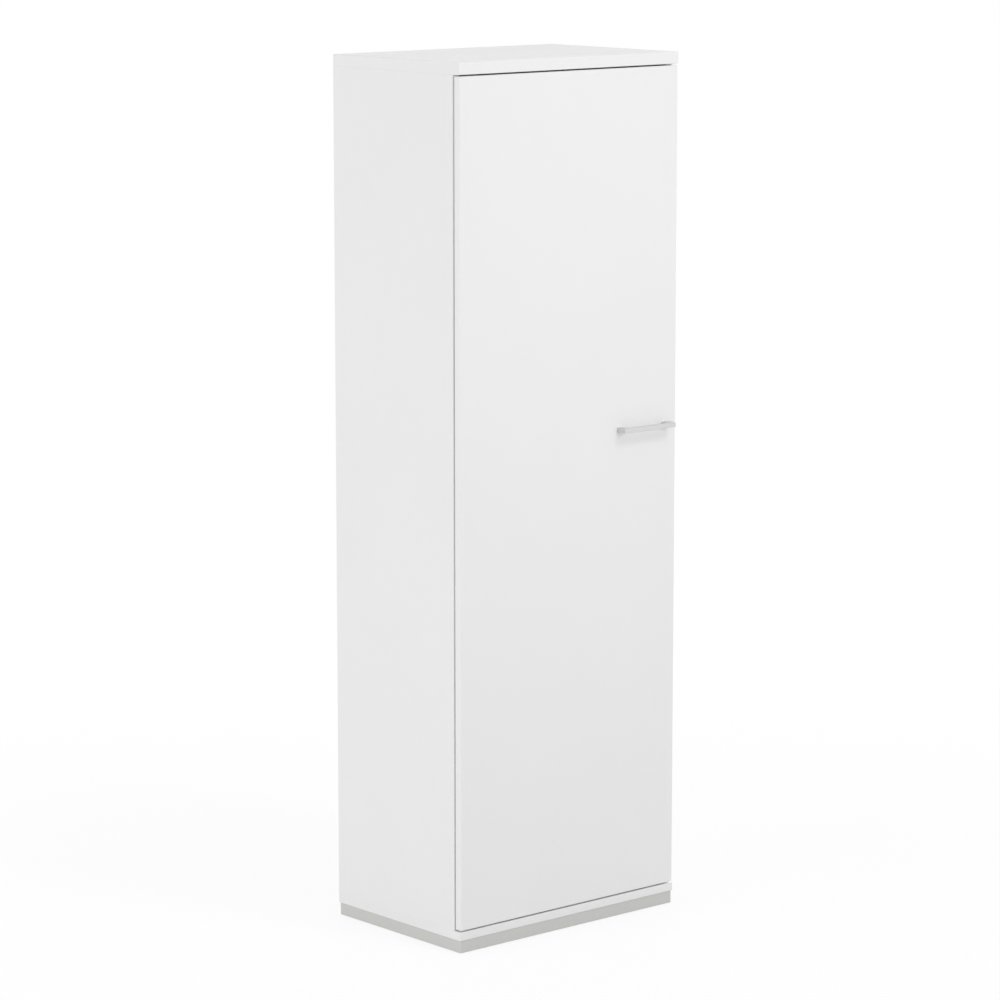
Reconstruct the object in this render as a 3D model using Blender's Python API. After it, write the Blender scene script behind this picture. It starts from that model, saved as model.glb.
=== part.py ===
"""Tall narrow wardrobe: white boards, one hinged door, hat shelf, coat rail and steel plinth.

Metres, +Z up. The front faces -Y, and the origin is on the floor under the middle of the outer box.
Each concealed hinge is a two-pin chain: a link swings on a pin in the cabinet arm, and the door's
cup swings on a pin in the link's far end.
"""
import math

import bmesh
import bpy
from mathutils import Matrix, Vector

# Outer size, with the depth from the door's front face to the rear edges
WIDTH = 0.602
DEPTH = 0.400
HEIGHT = 1.833

# Boards
TOP_THICK = 0.025
BOARD_THICK = 0.018
BACK_THICK = 0.008
BACK_INSET = 0.008
GROOVE_DEPTH = 0.008
EDGE_ROUND = 0.0015

# Door, lying between the top and bottom boards and over the sides' front edges
DOOR_GAP = 0.003
DOOR_STANDOFF = 0.002
DOOR_REVEAL = 0.002
BUMPER_RADIUS = 0.0045
BUMPER_INSET = 0.060

# Clearances
BOARD_JOINT = 0.0001
SEAT = 0.0002
SLIP = 0.0003
RUNNING = 0.0003
CUT_OVER = 0.001

# Handle
HANDLE_LENGTH = 0.145
HANDLE_HEIGHT = 0.010
HANDLE_PROJECTION = 0.0255
HANDLE_LEG = 0.017
HANDLE_BAR = 0.007
HANDLE_EDGE = 0.022
HANDLE_Z = 1.0515
HANDLE_ROUND = 0.0006
SCREW_RADIUS = 0.002
SCREW_HEAD_RADIUS = 0.004
SCREW_HEAD_HEIGHT = 0.0022
SCREW_CROWN_SHARE = 0.7
HANDLE_SCREW_GRIP = 0.010

# Plinth and feet
PLINTH_HEIGHT = 0.0265
PLINTH_INSET = 0.002
PLINTH_SHEET = 0.0015
PLINTH_TOP_FLANGE = 0.060
PLINTH_FOOT_FLANGE = 0.015
PLINTH_CORNER = 0.0015
FOOT_DROP = 0.001
FOOT_INSET = 0.040
FOOT_PAD_RADIUS = 0.015
FOOT_PAD_HEIGHT = 0.006
FOOT_STEM_RADIUS = 0.004
FOOT_STEM_SUNK = 0.005
PLINTH_SCREW_INSET = 0.120
PLINTH_SCREW_BACK = 0.030
PLINTH_SCREW_BITE = 0.012

# Cam fittings in the sides
CAM_RADIUS = 0.0074
CAM_DEPTH = 0.0122
CAM_END = 0.034
CAM_FRONT = 0.070
CAM_REAR = 0.060
CAM_SLOT_WIDTH = 0.0016
CAM_SLOT_LENGTH = 0.0085
CAM_SLOT_DEPTH = 0.002

# Hat shelf on pegs
HAT_SPACE = 0.300
SHELF_FRONT = 0.030
SHELF_REAR_GAP = 0.002
PEG_RADIUS = 0.0025
PEG_COLLAR_RADIUS = 0.0045
PEG_COLLAR = 0.0006
PEG_REACH = 0.007
PEG_SUNK = 0.008
PEG_FRONT = 0.067
PEG_REAR = 0.067
PEG_PITCH = 0.032
PEG_ROWS_EACH_WAY = 2

# Coat rail, front to back
RAIL_HEIGHT = 0.030
RAIL_WIDTH = 0.015
RAIL_WALL = 0.0012
RAIL_DROP = 0.048
RAIL_FRONT = 0.040
RAIL_REAR_GAP = 0.012
BRACKET_INSET = 0.022
BRACKET_THICK = 0.010
BRACKET_WALL = 0.003
BRACKET_PLATE = 0.052
BRACKET_PLATE_THICK = 0.003
BRACKET_STEM = 0.014

# Concealed hinges
HINGE_COUNT = 4
HINGE_END = 0.100
PIN_RADIUS = 0.0015
ARM_PIN_OUT = 0.015
ARM_PIN_BACK = 0.008
CUP_PIN_IN = 0.0095
CUP_PIN_DEPTH = 0.0035
LINK_HALF = 0.005
LINK_THICK = 0.0028
LINK_BULGE = 0.010
LINK_EYE = 0.003
ARM_EYE = 0.0042
ARM_WALL = 0.0016
ARM_WINDOW = 0.0013
ARM_END = 0.062
PLATE_FRONT = 0.028
PLATE_WING = 0.018
PLATE_SPAN = 0.052
PLATE_THICK = 0.0022
PLATE_STEP = 0.002
CUP_RADIUS = 0.0172
CUP_EDGE = 0.003
CUP_DEPTH = 0.0115
CUP_FLOOR = 0.001
CUP_RIM = 0.0006
CUP_SLOT = 0.015
CUP_PIN_GRIP = 0.003
FLANGE_SPAN = 0.056
FLANGE_BEFORE = 0.002
FLANGE_BEYOND = 0.019
FLANGE_THICK = 0.001
FLANGE_CORNER = 0.004

# Facets of round pieces
FINE = 40
MEDIUM = 24
SMALL = 12
SMOOTH_ANGLE = math.radians(35)

# Places that follow from the sizes
LEFT_X = -WIDTH / 2
RIGHT_X = WIDTH / 2
INNER_LEFT_X = LEFT_X + BOARD_THICK
INNER_RIGHT_X = RIGHT_X - BOARD_THICK
FRONT_Y = (HANDLE_PROJECTION - DEPTH) / 2
REAR_Y = FRONT_Y + DEPTH
DOOR_BACK_Y = FRONT_Y + BOARD_THICK
SIDE_FRONT_Y = DOOR_BACK_Y + DOOR_STANDOFF
BACK_REAR_Y = REAR_Y - BACK_INSET
BACK_FRONT_Y = BACK_REAR_Y - BACK_THICK
PLINTH_TOP_Z = FOOT_DROP + PLINTH_HEIGHT
BOTTOM_LOW_Z = PLINTH_TOP_Z + BOARD_JOINT
BOTTOM_TOP_Z = BOTTOM_LOW_Z + BOARD_THICK
TOP_LOW_Z = HEIGHT - TOP_THICK
SIDE_LOW_Z = BOTTOM_TOP_Z + BOARD_JOINT
SIDE_TOP_Z = TOP_LOW_Z - BOARD_JOINT
DOOR_LEFT_X = LEFT_X + DOOR_REVEAL
DOOR_RIGHT_X = RIGHT_X - DOOR_REVEAL
DOOR_LOW_Z = BOTTOM_TOP_Z + DOOR_GAP
DOOR_TOP_Z = TOP_LOW_Z - DOOR_GAP
SHELF_TOP_Z = TOP_LOW_Z - HAT_SPACE
SHELF_LOW_Z = SHELF_TOP_Z - BOARD_THICK
SHELF_SIDE_GAP = PEG_COLLAR + 2 * SEAT
PEG_Z = SHELF_LOW_Z - SEAT - PEG_RADIUS
RAIL_Z = SHELF_LOW_Z - RAIL_DROP
RAIL_FRONT_Y = SIDE_FRONT_Y + RAIL_FRONT
RAIL_REAR_Y = BACK_FRONT_Y - RAIL_REAR_GAP
ARM_PIN = Vector((INNER_LEFT_X + ARM_PIN_OUT, SIDE_FRONT_Y + ARM_PIN_BACK, 0.0))
CUP_PIN = Vector((DOOR_LEFT_X + CUP_PIN_IN, DOOR_BACK_Y - CUP_PIN_DEPTH, 0.0))
CUP_BORE_RADIUS = CUP_RADIUS + SLIP
CUP_X = DOOR_LEFT_X + CUP_EDGE + CUP_BORE_RADIUS
LINK_CHANNEL = LINK_HALF + RUNNING
HINGE_STEP = (DOOR_TOP_Z - DOOR_LOW_Z - 2 * HINGE_END) / (HINGE_COUNT - 1)
HINGE_HEIGHTS = [DOOR_LOW_Z + HINGE_END + HINGE_STEP * index for index in range(HINGE_COUNT)]
HANDLE_RIGHT_X = DOOR_RIGHT_X - HANDLE_EDGE
HANDLE_LEFT_X = HANDLE_RIGHT_X - HANDLE_LENGTH
HANDLE_SCREW_XS = {"left": HANDLE_LEFT_X + HANDLE_LEG / 2, "right": HANDLE_RIGHT_X - HANDLE_LEG / 2}
CAM_YS = {"front": SIDE_FRONT_Y + CAM_FRONT, "rear": REAR_Y - CAM_REAR}
CAM_ZS = {"bottom": SIDE_LOW_Z + CAM_END, "top": SIDE_TOP_Z - CAM_END}
PEG_YS = {"front": SIDE_FRONT_Y + PEG_FRONT, "rear": REAR_Y - PEG_REAR}
FOOT_XS = {"left": LEFT_X + PLINTH_INSET + FOOT_INSET, "right": RIGHT_X - PLINTH_INSET - FOOT_INSET}
FOOT_YS = {"front": FRONT_Y + PLINTH_INSET + FOOT_INSET, "rear": REAR_Y - PLINTH_INSET - FOOT_INSET}
PLINTH_SCREW_XS = {"left": LEFT_X + PLINTH_SCREW_INSET, "right": RIGHT_X - PLINTH_SCREW_INSET}
PLINTH_SCREW_YS = {"front": FRONT_Y + PLINTH_INSET + PLINTH_SCREW_BACK,
                   "rear": REAR_Y - PLINTH_INSET - PLINTH_SCREW_BACK}

# Finishes: colour, roughness, metallic
WHITE_BOARD = ((0.83, 0.83, 0.82), 0.45, 0.0)
GREY_POWDER = ((0.60, 0.61, 0.59), 0.5, 0.2)
SATIN_METAL = ((0.68, 0.68, 0.68), 0.28, 1.0)
NICKEL = ((0.62, 0.61, 0.58), 0.25, 1.0)
STEEL = ((0.50, 0.50, 0.50), 0.35, 1.0)
ZINC = ((0.55, 0.56, 0.57), 0.4, 0.9)
BLACK_PLASTIC = ((0.03, 0.03, 0.03), 0.5, 0.0)
CLEAR_SILICONE = ((0.75, 0.76, 0.76), 0.3, 0.0)

FACE_NAMES = {(-1, 0, 0): "left", (1, 0, 0): "right", (0, -1, 0): "front",
              (0, 1, 0): "back", (0, 0, -1): "bottom", (0, 0, 1): "top"}
ALONG_X = Matrix.Rotation(math.radians(90), 4, "Y")
ALONG_Y = Matrix.Rotation(math.radians(-90), 4, "X")
ALONG_Z = Matrix.Identity(4)


def clear_scene():
    for item in list(bpy.data.objects):
        bpy.data.objects.remove(item, do_unlink=True)


def mesh_from(shape):
    """Mesh data from a finished bmesh, with its faces turned outwards."""
    bmesh.ops.recalc_face_normals(shape, faces=shape.faces)
    mesh = bpy.data.meshes.new("shape")
    shape.to_mesh(mesh)
    shape.free()
    return mesh


def face_name(face):
    return FACE_NAMES[tuple(round(part) for part in face.normal)]


def box(low, high, rounded=(), radius=0.0, steps=3):
    """Box between two corners; rounded lists the edges to round, each as a pair of face names."""
    low, high = Vector(low), Vector(high)
    shape = bmesh.new()
    bmesh.ops.create_cube(shape, size=1.0)
    bmesh.ops.scale(shape, vec=high - low, verts=shape.verts)
    bmesh.ops.translate(shape, vec=(low + high) / 2, verts=shape.verts)
    shape.normal_update()
    wanted = [set(pair) for pair in rounded]
    edges = [edge for edge in shape.edges if {face_name(face) for face in edge.link_faces} in wanted]
    if edges:
        bmesh.ops.bevel(shape, geom=edges, offset=radius, segments=steps, profile=0.5, affect="EDGES")
    return mesh_from(shape)


def prism(outline, low, high):
    """Solid over a plan outline, given anticlockwise, between two heights."""
    shape = bmesh.new()
    lower = [shape.verts.new((x, y, low)) for x, y in outline]
    upper = [shape.verts.new((x, y, high)) for x, y in outline]
    shape.faces.new(lower)
    shape.faces.new(upper)
    for index in range(len(outline)):
        shape.faces.new((lower[index - 1], lower[index], upper[index], upper[index - 1]))
    return mesh_from(shape)


def turned(profile, facets):
    """Solid of revolution about Z from a profile of (radius, height) points that starts and ends at 0."""
    shape = bmesh.new()
    points = [shape.verts.new((radius, 0.0, height)) for radius, height in profile]
    edges = [shape.edges.new(pair) for pair in zip(points, points[1:])]
    bmesh.ops.spin(shape, geom=points + edges, axis=(0, 0, 1), cent=(0, 0, 0),
                   angle=math.tau, steps=facets)
    bmesh.ops.remove_doubles(shape, verts=shape.verts, dist=1e-6)
    return mesh_from(shape)


def rod(radius, low, high, facets, direction=ALONG_Z, at=(0, 0, 0)):
    """Cylinder that runs from low to high along one axis through a point."""
    shape = bmesh.new()
    bmesh.ops.create_cone(shape, cap_ends=True, segments=facets, radius1=radius, radius2=radius,
                          depth=high - low)
    bmesh.ops.translate(shape, vec=(0, 0, (low + high) / 2), verts=shape.verts)
    bmesh.ops.transform(shape, matrix=Matrix.Translation(at) @ direction, verts=shape.verts)
    return mesh_from(shape)


def moved(mesh, vector, direction=ALONG_Z):
    mesh.transform(Matrix.Translation(vector) @ direction)
    return mesh


def together(meshes):
    """Several separate solids in one mesh, as a set of cutters."""
    shape = bmesh.new()
    for mesh in meshes:
        shape.from_mesh(mesh)
    return mesh_from(shape)


def boolean(base, tool, operation):
    """Mesh of base after one Boolean with tool, both in the same frame."""
    target = bpy.data.objects.new("target", base)
    helper = bpy.data.objects.new("helper", tool)
    for item in (target, helper):
        bpy.context.scene.collection.objects.link(item)
    step = target.modifiers.new("shape", "BOOLEAN")
    step.operation = operation
    step.solver = "EXACT"
    step.object = helper
    graph = bpy.context.evaluated_depsgraph_get()
    result = bpy.data.meshes.new_from_object(target.evaluated_get(graph))
    for item in (target, helper):
        bpy.data.objects.remove(item)
    return result


def cut(base, *tools):
    for tool in tools:
        base = boolean(base, tool, "DIFFERENCE")
    return base


def fused(base, *tools):
    for tool in tools:
        base = boolean(base, tool, "UNION")
    return base


def finish_material(name, finish):
    colour, roughness, metallic = finish
    made = bpy.data.materials.new(name)
    made.use_nodes = True
    shader = made.node_tree.nodes["Principled BSDF"]
    shader.inputs["Base Color"].default_value = (*colour, 1.0)
    shader.inputs["Roughness"].default_value = roughness
    shader.inputs["Metallic"].default_value = metallic
    return made


def node(name, mesh, finish, at=(0, 0, 0), parent=None):
    """Named piece whose own origin lies at a world point, under an empty if it moves."""
    data = mesh.copy()
    data.name = name
    data.materials.clear()
    data.materials.append(finish_material(name, finish))
    data.shade_smooth()
    data.set_sharp_from_angle(angle=SMOOTH_ANGLE)
    item = bpy.data.objects.new(name, data)
    bpy.context.scene.collection.objects.link(item)
    place(item, at, parent)
    return item


def place(item, at, parent):
    item.parent = parent
    item.location = Vector(at) - (axis_point(parent) if parent else Vector())


def axis_point(empty):
    """World place of an axis empty, which stands under nothing or under another axis empty."""
    return empty.location + (axis_point(empty.parent) if empty.parent else Vector())


def axis_empty(name, at, parent=None):
    empty = bpy.data.objects.new(name, None)
    empty.empty_display_size = HINGE_END
    bpy.context.scene.collection.objects.link(empty)
    place(empty, at, parent)
    return empty


def stadium(width, height, facets):
    """Outline with round ends, width along x and height along y, anticlockwise."""
    radius = width / 2
    straight = (height - width) / 2
    half_turn = [math.pi * index / facets for index in range(facets + 1)]
    upper = [(radius * math.cos(turn), straight + radius * math.sin(turn)) for turn in half_turn]
    lower = [(-x, -y) for x, y in upper]
    return upper + lower


def build_boards():
    front_edges = [("front", "top"), ("front", "bottom"), ("front", "left"), ("front", "right")]
    top_edges = [("top", "left"), ("top", "right"), ("top", "back")]
    groove_front = BACK_FRONT_Y - SLIP
    groove_rear = BACK_REAR_Y + SLIP

    top = box((LEFT_X, FRONT_Y, TOP_LOW_Z), (RIGHT_X, REAR_Y, HEIGHT), front_edges + top_edges, EDGE_ROUND)
    top_groove = box((INNER_LEFT_X - GROOVE_DEPTH, groove_front, TOP_LOW_Z - CUT_OVER),
                     (INNER_RIGHT_X + GROOVE_DEPTH, groove_rear, TOP_LOW_Z + GROOVE_DEPTH))
    node("top_panel", cut(top, top_groove), WHITE_BOARD)

    bottom = box((LEFT_X, FRONT_Y, BOTTOM_LOW_Z), (RIGHT_X, REAR_Y, BOTTOM_TOP_Z), front_edges, EDGE_ROUND)
    bottom_groove = box((INNER_LEFT_X - GROOVE_DEPTH, groove_front, BOTTOM_TOP_Z - GROOVE_DEPTH),
                        (INNER_RIGHT_X + GROOVE_DEPTH, groove_rear, BOTTOM_TOP_Z + CUT_OVER))
    foot_holes = [rod(FOOT_STEM_RADIUS + RUNNING, BOTTOM_LOW_Z - CUT_OVER, BOTTOM_TOP_Z + CUT_OVER, MEDIUM,
                      at=(x, y, 0)) for x in FOOT_XS.values() for y in FOOT_YS.values()]
    pilot_holes = [rod(SCREW_RADIUS + RUNNING, BOTTOM_LOW_Z - CUT_OVER,
                       BOTTOM_LOW_Z + PLINTH_SCREW_BITE + SLIP, SMALL, at=(x, y, 0))
                   for x in PLINTH_SCREW_XS.values() for y in PLINTH_SCREW_YS.values()]
    node("bottom_panel", cut(bottom, bottom_groove, together(foot_holes + pilot_holes)), WHITE_BOARD)

    build_side("left", LEFT_X, INNER_LEFT_X, groove_front, groove_rear)
    build_side("right", RIGHT_X, INNER_RIGHT_X, groove_front, groove_rear)

    reach = GROOVE_DEPTH - SLIP
    back = box((INNER_LEFT_X - reach, BACK_FRONT_Y, BOTTOM_TOP_Z - reach),
               (INNER_RIGHT_X + reach, BACK_REAR_Y, TOP_LOW_Z + reach))
    node("back_panel", back, WHITE_BOARD)


def build_side(name, outer_x, inner_x, groove_front, groove_rear):
    """Side board with the back's groove, the cam bores and the rows of peg holes in its inner face."""
    inward = 1 if inner_x > outer_x else -1
    low_x, high_x = sorted((outer_x, inner_x))
    side = box((low_x, SIDE_FRONT_Y, SIDE_LOW_Z), (high_x, REAR_Y, SIDE_TOP_Z),
               [("front", "left"), ("front", "right")], EDGE_ROUND)
    groove_xs = sorted((inner_x - inward * GROOVE_DEPTH, inner_x + inward * CUT_OVER))
    groove = box((groove_xs[0], groove_front, SIDE_LOW_Z - CUT_OVER),
                 (groove_xs[1], groove_rear, SIDE_TOP_Z + CUT_OVER))
    bores = [inner_bore(inner_x, inward, CAM_RADIUS + SLIP, CAM_DEPTH + SLIP, MEDIUM, y, z)
             for y in CAM_YS.values() for z in CAM_ZS.values()]
    rows = range(-PEG_ROWS_EACH_WAY, PEG_ROWS_EACH_WAY + 1)
    peg_zs = [PEG_Z + PEG_PITCH * row for row in rows]
    bores += [inner_bore(inner_x, inward, PEG_RADIUS + RUNNING, PEG_SUNK + SLIP, SMALL, y, z)
              for y in PEG_YS.values() for z in peg_zs]
    node(f"{name}_side_panel", cut(side, groove, together(bores)), WHITE_BOARD)


def inner_bore(inner_x, inward, radius, depth, facets, y, z):
    """Cutter for a blind hole that goes into a side's inner face."""
    ends = sorted((-inward * depth, inward * CUT_OVER))
    return rod(radius, *ends, facets, ALONG_X, (inner_x, y, z))


def build_cams():
    """Round cam housings, flush with the sides' inner faces, each with a slot for the screwdriver."""
    body = rod(CAM_RADIUS, -CAM_DEPTH, 0.0, MEDIUM)
    half_width, half_length = CAM_SLOT_WIDTH / 2, CAM_SLOT_LENGTH / 2
    slot = box((-half_length, -half_width, -CAM_SLOT_DEPTH), (half_length, half_width, CUT_OVER))
    cross = box((-half_width, -half_length, -CAM_SLOT_DEPTH), (half_width, half_length, CUT_OVER))
    cam = cut(body, slot, cross)
    facing = {"left": (INNER_LEFT_X, ALONG_X), "right": (INNER_RIGHT_X, ALONG_X.inverted())}
    for side, (x, direction) in facing.items():
        turned_cam = moved(cam.copy(), (0, 0, 0), direction)
        for level, z in CAM_ZS.items():
            for end, y in CAM_YS.items():
                node(f"cam_lock_{side}_{level}_{end}", turned_cam, ZINC, (x, y, z))


def build_shelf():
    shelf = box((INNER_LEFT_X + SHELF_SIDE_GAP, SIDE_FRONT_Y + SHELF_FRONT, SHELF_LOW_Z),
                (INNER_RIGHT_X - SHELF_SIDE_GAP, BACK_FRONT_Y - SHELF_REAR_GAP, SHELF_TOP_Z),
                [("front", "top"), ("front", "bottom")], EDGE_ROUND)
    node("hat_shelf", shelf, WHITE_BOARD)

    peg = turned([(0.0, -PEG_SUNK), (PEG_RADIUS, -PEG_SUNK), (PEG_RADIUS, SEAT),
                  (PEG_COLLAR_RADIUS, SEAT), (PEG_COLLAR_RADIUS, SEAT + PEG_COLLAR),
                  (PEG_RADIUS, SEAT + PEG_COLLAR), (PEG_RADIUS, PEG_REACH), (0.0, PEG_REACH)], SMALL)
    facing = {"left": (INNER_LEFT_X, ALONG_X), "right": (INNER_RIGHT_X, ALONG_X.inverted())}
    for side, (x, direction) in facing.items():
        for end, y in PEG_YS.items():
            node(f"shelf_peg_{side}_{end}", moved(peg.copy(), (0, 0, 0), direction), NICKEL, (x, y, PEG_Z))


def build_rail():
    tube = cut(prism(stadium(RAIL_WIDTH, RAIL_HEIGHT, SMALL), RAIL_FRONT_Y, RAIL_REAR_Y),
               prism(stadium(RAIL_WIDTH - 2 * RAIL_WALL, RAIL_HEIGHT - 2 * RAIL_WALL, SMALL),
                     RAIL_FRONT_Y - CUT_OVER, RAIL_REAR_Y + CUT_OVER))
    node("coat_rail", moved(tube, (0, 0, 0), ALONG_Y), SATIN_METAL, (0, 0, RAIL_Z))

    half = BRACKET_THICK / 2
    hole_width, hole_height = RAIL_WIDTH + 2 * SLIP, RAIL_HEIGHT + 2 * SLIP
    ring = prism(stadium(hole_width + 2 * BRACKET_WALL, hole_height + 2 * BRACKET_WALL, SMALL), -half, half)
    hole = prism(stadium(hole_width, hole_height, SMALL), -half - CUT_OVER, half + CUT_OVER)
    top_z = RAIL_DROP - SEAT
    plate = box((-BRACKET_PLATE / 2, -half, top_z - BRACKET_PLATE_THICK), (BRACKET_PLATE / 2, half, top_z))
    stem = box((-BRACKET_STEM / 2, -half, hole_height / 2 + BRACKET_WALL / 2),
               (BRACKET_STEM / 2, half, top_z - BRACKET_PLATE_THICK / 2))
    bracket = fused(cut(moved(ring, (0, 0, 0), ALONG_Y), moved(hole, (0, 0, 0), ALONG_Y)), stem, plate)
    ends = {"front": RAIL_FRONT_Y + BRACKET_INSET, "rear": RAIL_REAR_Y - BRACKET_INSET}
    for end, y in ends.items():
        node(f"coat_rail_bracket_{end}", bracket, NICKEL, (0, y, RAIL_Z))


def build_plinth():
    """Folded sheet ring with an inward flange above and below, on four screw feet."""
    def ring_box(inset, low, high, rounded=()):
        edge = PLINTH_INSET + inset
        return box((LEFT_X + edge, FRONT_Y + edge, low), (RIGHT_X - edge, REAR_Y - edge, high),
                   rounded, PLINTH_CORNER)

    corners = [("left", "front"), ("right", "front"), ("left", "back"), ("right", "back")]
    web_low = FOOT_DROP + PLINTH_SHEET
    web_top = PLINTH_TOP_Z - PLINTH_SHEET
    ring = cut(ring_box(0.0, FOOT_DROP, PLINTH_TOP_Z, corners),
               ring_box(PLINTH_SHEET, web_low, web_top),
               ring_box(PLINTH_FOOT_FLANGE, FOOT_DROP - CUT_OVER, web_low + CUT_OVER),
               ring_box(PLINTH_TOP_FLANGE, web_top - CUT_OVER, PLINTH_TOP_Z + CUT_OVER))
    through = (web_top - CUT_OVER, PLINTH_TOP_Z + CUT_OVER)
    holes = [rod(FOOT_STEM_RADIUS + RUNNING, *through, MEDIUM, at=(x, y, 0))
             for x in FOOT_XS.values() for y in FOOT_YS.values()]
    holes += [rod(SCREW_RADIUS + RUNNING, *through, SMALL, at=(x, y, 0))
              for x in PLINTH_SCREW_XS.values() for y in PLINTH_SCREW_YS.values()]
    node("plinth_frame", cut(ring, together(holes)), GREY_POWDER)

    stem_top = BOTTOM_TOP_Z - FOOT_STEM_SUNK
    pad_waist = (FOOT_PAD_RADIUS + FOOT_STEM_RADIUS) / 2
    foot = turned([(0.0, 0.0), (FOOT_PAD_RADIUS, 0.0), (FOOT_PAD_RADIUS, FOOT_PAD_HEIGHT / 2),
                   (pad_waist, FOOT_PAD_HEIGHT), (FOOT_STEM_RADIUS, FOOT_PAD_HEIGHT),
                   (FOOT_STEM_RADIUS, stem_top), (0.0, stem_top)], MEDIUM)
    screw = screw_mesh(PLINTH_SHEET + BOARD_JOINT + PLINTH_SCREW_BITE + SEAT)
    for side in ("left", "right"):
        for end in ("front", "rear"):
            node(f"levelling_foot_{side}_{end}", foot, BLACK_PLASTIC, (FOOT_XS[side], FOOT_YS[end], 0))
            node(f"plinth_screw_{side}_{end}", screw, STEEL,
                 (PLINTH_SCREW_XS[side], PLINTH_SCREW_YS[end], web_top - SEAT))


def screw_mesh(length):
    """Screw along +Z with the underside of its round head at 0."""
    return turned([(0.0, -SCREW_HEAD_HEIGHT), (SCREW_HEAD_RADIUS * SCREW_CROWN_SHARE, -SCREW_HEAD_HEIGHT),
                   (SCREW_HEAD_RADIUS, -SCREW_HEAD_HEIGHT / 2), (SCREW_HEAD_RADIUS, 0.0),
                   (SCREW_RADIUS, 0.0), (SCREW_RADIUS, length), (0.0, length)], SMALL)


def build_hinge_carriers():
    """Plate on the side board, channel-shaped arm over it and the pin at the arm's front end."""
    channel_top = ARM_PIN_OUT + ARM_EYE - ARM_WALL
    outer = LINK_CHANNEL + ARM_WALL
    plate = fused(box((SEAT, PLATE_FRONT, -PLATE_SPAN / 2),
                      (SEAT + PLATE_THICK, PLATE_FRONT + PLATE_WING, PLATE_SPAN / 2)),
                  box((SEAT + PLATE_THICK / 2, PLATE_FRONT + PLATE_STEP, SLIP - LINK_CHANNEL),
                      (channel_top - SLIP, ARM_END - PLATE_STEP, LINK_CHANNEL - SLIP)))

    front_turn = [math.pi * (1 + index / SMALL) for index in range(SMALL + 1)]
    outline = [(ARM_PIN_OUT + ARM_EYE * math.cos(turn), ARM_PIN_BACK + ARM_EYE * math.sin(turn))
               for turn in front_turn]
    outline += [(ARM_PIN_OUT + ARM_EYE, ARM_END), (ARM_PIN_OUT - ARM_EYE, ARM_END)]
    front_y = ARM_PIN_BACK - ARM_EYE - CUT_OVER
    channel = box((ARM_PIN_OUT - ARM_EYE - CUT_OVER, front_y, -LINK_CHANNEL),
                  (channel_top, ARM_END + CUT_OVER, LINK_CHANNEL))
    window = box((ARM_PIN_OUT - ARM_EYE - CUT_OVER, front_y, -LINK_CHANNEL),
                 (ARM_PIN_OUT + ARM_EYE + CUT_OVER, ARM_PIN_BACK + ARM_EYE + ARM_WINDOW, LINK_CHANNEL))
    pin_hole = rod(PIN_RADIUS + RUNNING, -outer - CUT_OVER, outer + CUT_OVER, SMALL,
                   at=(ARM_PIN_OUT, ARM_PIN_BACK, 0))
    arm = cut(prism(outline, -outer, outer), channel, window, pin_hole)
    pin = rod(PIN_RADIUS, -outer, outer, SMALL)
    for number, z in enumerate(HINGE_HEIGHTS, start=1):
        seat = (INNER_LEFT_X, SIDE_FRONT_Y, z)
        node(f"hinge_plate_{number}", plate, NICKEL, seat)
        node(f"hinge_arm_{number}", arm, NICKEL, seat)
        node(f"hinge_arm_pin_{number}", pin, STEEL, (ARM_PIN.x, ARM_PIN.y, z))


def link_arc(radius_change, start, end):
    """Points of the link's bow about the arm pin, moved in or out by half the link's thickness."""
    far = CUP_PIN - ARM_PIN
    along = -far.normalized()
    bow_side = Vector((along.y, -along.x, 0.0))
    radius = (far.length_squared / 4 + LINK_BULGE ** 2) / (2 * LINK_BULGE)
    centre = far / 2 + bow_side * (LINK_BULGE - radius)
    half_angle = math.atan2(far.length / 2, radius - LINK_BULGE)
    middle = math.atan2(bow_side.y, bow_side.x)
    turns = [middle + half_angle * (start + (end - start) * index / SMALL) for index in range(SMALL + 1)]
    reach = radius + radius_change
    return [(centre.x + reach * math.cos(turn), centre.y + reach * math.sin(turn)) for turn in turns]


def build_hinge_links(axis):
    """Bowed link that swings on the arm pin and carries the cup pin at its other end."""
    far = CUP_PIN - ARM_PIN
    outline = link_arc(LINK_THICK / 2, -1, 1) + link_arc(-LINK_THICK / 2, 1, -1)
    near_eye = rod(LINK_EYE, -LINK_HALF, LINK_HALF, MEDIUM)
    far_eye = rod(LINK_EYE, -LINK_HALF, LINK_HALF, MEDIUM, at=far)
    holes = [rod(PIN_RADIUS + RUNNING, -LINK_CHANNEL, LINK_CHANNEL, SMALL, at=place)
             for place in ((0, 0, 0), far)]
    link = cut(fused(prism(outline, -LINK_HALF, LINK_HALF), near_eye, far_eye), together(holes))
    for number, z in enumerate(HINGE_HEIGHTS, start=1):
        node(f"hinge_link_{number}", link, NICKEL, (ARM_PIN.x, ARM_PIN.y, z), axis)


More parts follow.
